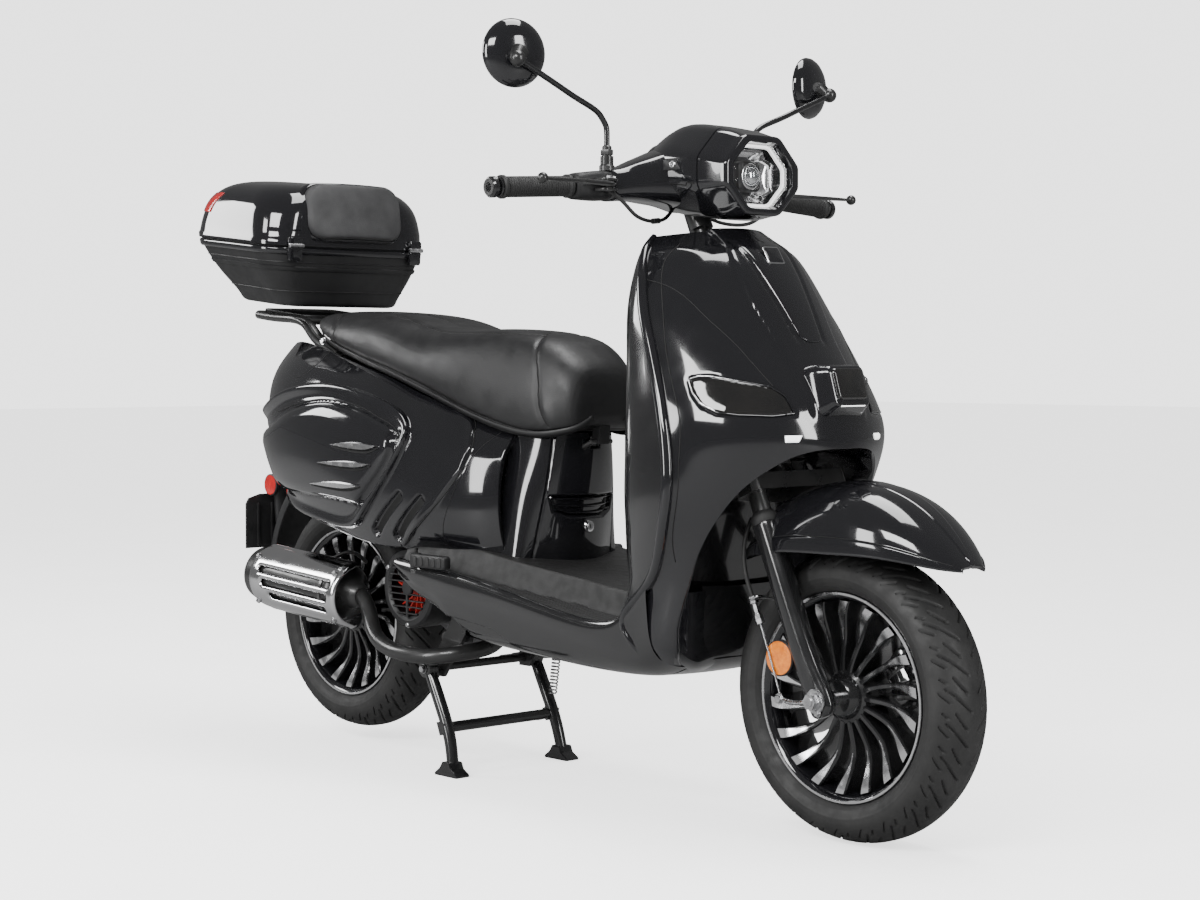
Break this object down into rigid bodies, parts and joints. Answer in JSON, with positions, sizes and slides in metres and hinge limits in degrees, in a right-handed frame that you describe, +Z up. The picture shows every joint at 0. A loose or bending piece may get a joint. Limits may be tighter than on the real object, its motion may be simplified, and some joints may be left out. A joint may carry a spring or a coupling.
{
  "type": "motor scooter",
  "caption": "Retro step-through petrol scooter on its centre stand, with top box, folding passenger pegs and round mirrors.",
  "frame": {"origin": "on the ground, under the middle of the overall length and width", "axes": "+X forward, +Y to the rider's left, +Z up"},
  "size_m": [1.9113, 0.8184, 1.3197],
  "materials": {
    "body_black": "gloss piano black",
    "matt_black": "matt textured black",
    "satin_black": "satin black",
    "silver_metal": "machined",
    "steel": "bright",
    "chrome": "polished",
    "rubber": "matt",
    "tyre": "matt",
    "vinyl": "grained vinyl",
    "clear": "clear",
    "smoke": "smoked",
    "red_lens": "red lens",
    "amber_lens": "amber lens",
    "red_fan": "moulded red",
    "cast_grey": "cast",
    "grey_pad": "grained pad"
  },
  "bodies": {
    "frame": {"frame_tubes": "satin_black", "leg_shield": "body_black", "inner_leg_panel": "matt_black", "floor_board": "matt_black", "lower_cowl": "matt_black", "seat_front_panel": "body_black", "body_shell_right": "body_black", "body_shell_left": "body_black", "side_scoops": "body_black", "storage_bucket": "matt_black", "fuel_tank": "matt_black", "tail_light": "red_lens", "rear_mudguard": "matt_black", "rear_carrier": "satin_black", "box_base": "satin_black", "front_lenses": "smoke"},
    "steering": {"steering_stem": "steel", "front_fender": "body_black", "handlebar": "satin_black", "headset_cover": "body_black", "headlight_unit": "chrome", "headlight_lens": "clear", "left_grip": "rubber", "control_perches": "matt_black", "mirror_stems": "satin_black"},
    "mirror_right": {"mirror_head_right": "matt_black"},
    "mirror_left": {"mirror_head_left": "matt_black"},
    "throttle": {"throttle_grip": "rubber"},
    "lever_right": {"brake_lever_right": "satin_black"},
    "lever_left": {"brake_lever_left": "satin_black"},
    "starter": {"starter_button": "matt_black"},
    "fork_lower": {"fork_sliders": "satin_black", "front_axle": "steel", "brake_caliper": "satin_black", "fork_reflectors": "amber_lens"},
    "front_wheel": {"front_rim": "silver_metal", "front_tyre": "tyre", "front_disc": "steel"},
    "engine": {"crankcase": "cast_grey", "cylinder": "cast_grey", "fan_cover": "matt_black", "exhaust": "satin_black", "muffler_shield": "chrome"},
    "rear_wheel": {"rear_rim": "silver_metal", "rear_tyre": "tyre"},
    "fan": {"cooling_fan": "red_fan"},
    "stand_centre": {"centre_stand": "satin_black"},
    "stand_side": {"side_stand": "satin_black"},
    "seat": {"seat_cushion": "vinyl", "seat_pan": "matt_black"},
    "lid": {"box_lid": "body_black", "box_pad": "grey_pad", "box_reflectors": "red_lens"},
    "foot_peg_right": {"peg_right": "matt_black"},
    "foot_peg_left": {"peg_left": "matt_black"},
    "shock_upper": {"shock_body": "satin_black", "shock_spring": "steel"},
    "shock_lower": {"shock_rod": "steel"},
    "kick": {"kick_lever": "steel"},
    "key": {"ignition_key": "steel"}
  },
  "joints": [
    {"name": "steering_turn", "type": "hinge", "parent": "frame", "child": "steering", "pos_m": [0.5318, 0, 0.60325], "axis": [-0.4067, 0, 0.9135], "range_deg": [-32, 32]},
    {"name": "fork_travel", "type": "slide", "parent": "steering", "child": "fork_lower", "axis": [-0.4067, 0, 0.9135], "range_m": [0, 0.06], "stiffness_N_per_m": 9000, "springref_m": -0.012},
    {"name": "front_wheel_spin", "type": "hinge", "parent": "fork_lower", "child": "front_wheel", "pos_m": [0.71765, 0, 0.235], "axis": [0, 1, 0], "continuous": true},
    {"name": "throttle_turn", "type": "hinge", "parent": "steering", "child": "throttle", "pos_m": [0.29626, -0.24662, 1.05739], "axis": [-0.0779, -0.9954, -0.0563], "range_deg": [0, 75], "stiffness_Nm_per_rad": 0.15},
    {"name": "lever_right_pull", "type": "hinge", "parent": "steering", "child": "lever_right", "pos_m": [0.34265, -0.199, 1.056], "axis": [0, 0, -1], "range_deg": [0, 12], "stiffness_Nm_per_rad": 1, "springref_deg": -5.73},
    {"name": "lever_left_pull", "type": "hinge", "parent": "steering", "child": "lever_left", "pos_m": [0.34265, 0.199, 1.056], "axis": [0, 0, 1], "range_deg": [0, 12], "stiffness_Nm_per_rad": 1, "springref_deg": -5.73},
    {"name": "starter_press", "type": "slide", "parent": "steering", "child": "starter", "axis": [1, 0, 0], "range_m": [0, 0.002], "stiffness_N_per_m": 400, "springref_m": -0.001},
    {"name": "mirror_right_tilt", "type": "hinge", "parent": "steering", "child": "mirror_right", "pos_m": [0.31465, -0.372, 1.254], "axis": [0, 1, 0], "range_deg": [-8, 12]},
    {"name": "mirror_left_tilt", "type": "hinge", "parent": "steering", "child": "mirror_left", "pos_m": [0.31465, 0.372, 1.254], "axis": [0, 1, 0], "range_deg": [-8, 12]},
    {"name": "engine_swing", "type": "hinge", "parent": "frame", "child": "engine", "pos_m": [-0.20935, 0, 0.25], "axis": [0, 1, 0], "range_deg": [0, 8], "stiffness_Nm_per_rad": 2500, "springref_deg": -2.01},
    {"name": "rear_wheel_spin", "type": "hinge", "parent": "engine", "child": "rear_wheel", "pos_m": [-0.61235, 0, 0.261], "axis": [0, 1, 0], "continuous": true},
    {"name": "fan_spin", "type": "hinge", "parent": "engine", "child": "fan", "pos_m": [-0.28735, 0, 0.34], "axis": [0, 1, 0], "continuous": true},
    {"name": "shock_lean", "type": "hinge", "parent": "frame", "child": "shock_upper", "pos_m": [-0.51235, 0.104, 0.668], "axis": [0, 1, 0], "range_deg": [-2.8, 0.3]},
    {"name": "shock_stroke", "type": "slide", "parent": "shock_upper", "child": "shock_lower", "axis": [0.2491, 0, 0.9685], "range_m": [0, 0.05518], "deforming": ["shock_spring"]},
    {"name": "centre_stand_fold", "type": "hinge", "parent": "frame", "child": "stand_centre", "pos_m": [-0.23535, 0, 0.192], "axis": [0, 1, 0], "range_deg": [0, 82], "stiffness_Nm_per_rad": 20, "springref_deg": -20.05},
    {"name": "side_stand_swing", "type": "hinge", "parent": "frame", "child": "stand_side", "pos_m": [-0.12735, 0.175, 0.246], "axis": [0, -1, 0], "range_deg": [0, 95]},
    {"name": "seat_lift", "type": "hinge", "parent": "frame", "child": "seat", "pos_m": [0.10265, 0, 0.624], "axis": [0, 1, 0], "range_deg": [0, 70]},
    {"name": "lid_open", "type": "hinge", "parent": "frame", "child": "lid", "pos_m": [-0.63535, 0, 1], "axis": [0, -1, 0], "range_deg": [-70, 0]},
    {"name": "peg_right_fold", "type": "hinge", "parent": "frame", "child": "foot_peg_right", "pos_m": [-0.18235, -0.2, 0.405], "axis": [0, 0, -1], "range_deg": [0, 90]},
    {"name": "peg_left_fold", "type": "hinge", "parent": "frame", "child": "foot_peg_left", "pos_m": [-0.18235, 0.2, 0.405], "axis": [0, 0, 1], "range_deg": [0, 90]},
    {"name": "kick_push", "type": "hinge", "parent": "engine", "child": "kick", "pos_m": [-0.34735, 0.15, 0.33], "axis": [0, -1, 0], "range_deg": [0, 55], "stiffness_Nm_per_rad": 2, "springref_deg": -9.74},
    {"name": "key_turn", "type": "hinge", "parent": "frame", "child": "key", "pos_m": [0.36465, 0.062, 0.8], "axis": [1, 0, 0], "range_deg": [0, 90]}
  ],
  "couplings": [
    {"joint": "shock_lean", "follows": "engine_swing", "ratio": -0.31235},
    {"joint": "shock_stroke", "follows": "engine_swing", "m_per_rad": 0.39164}
  ]
}
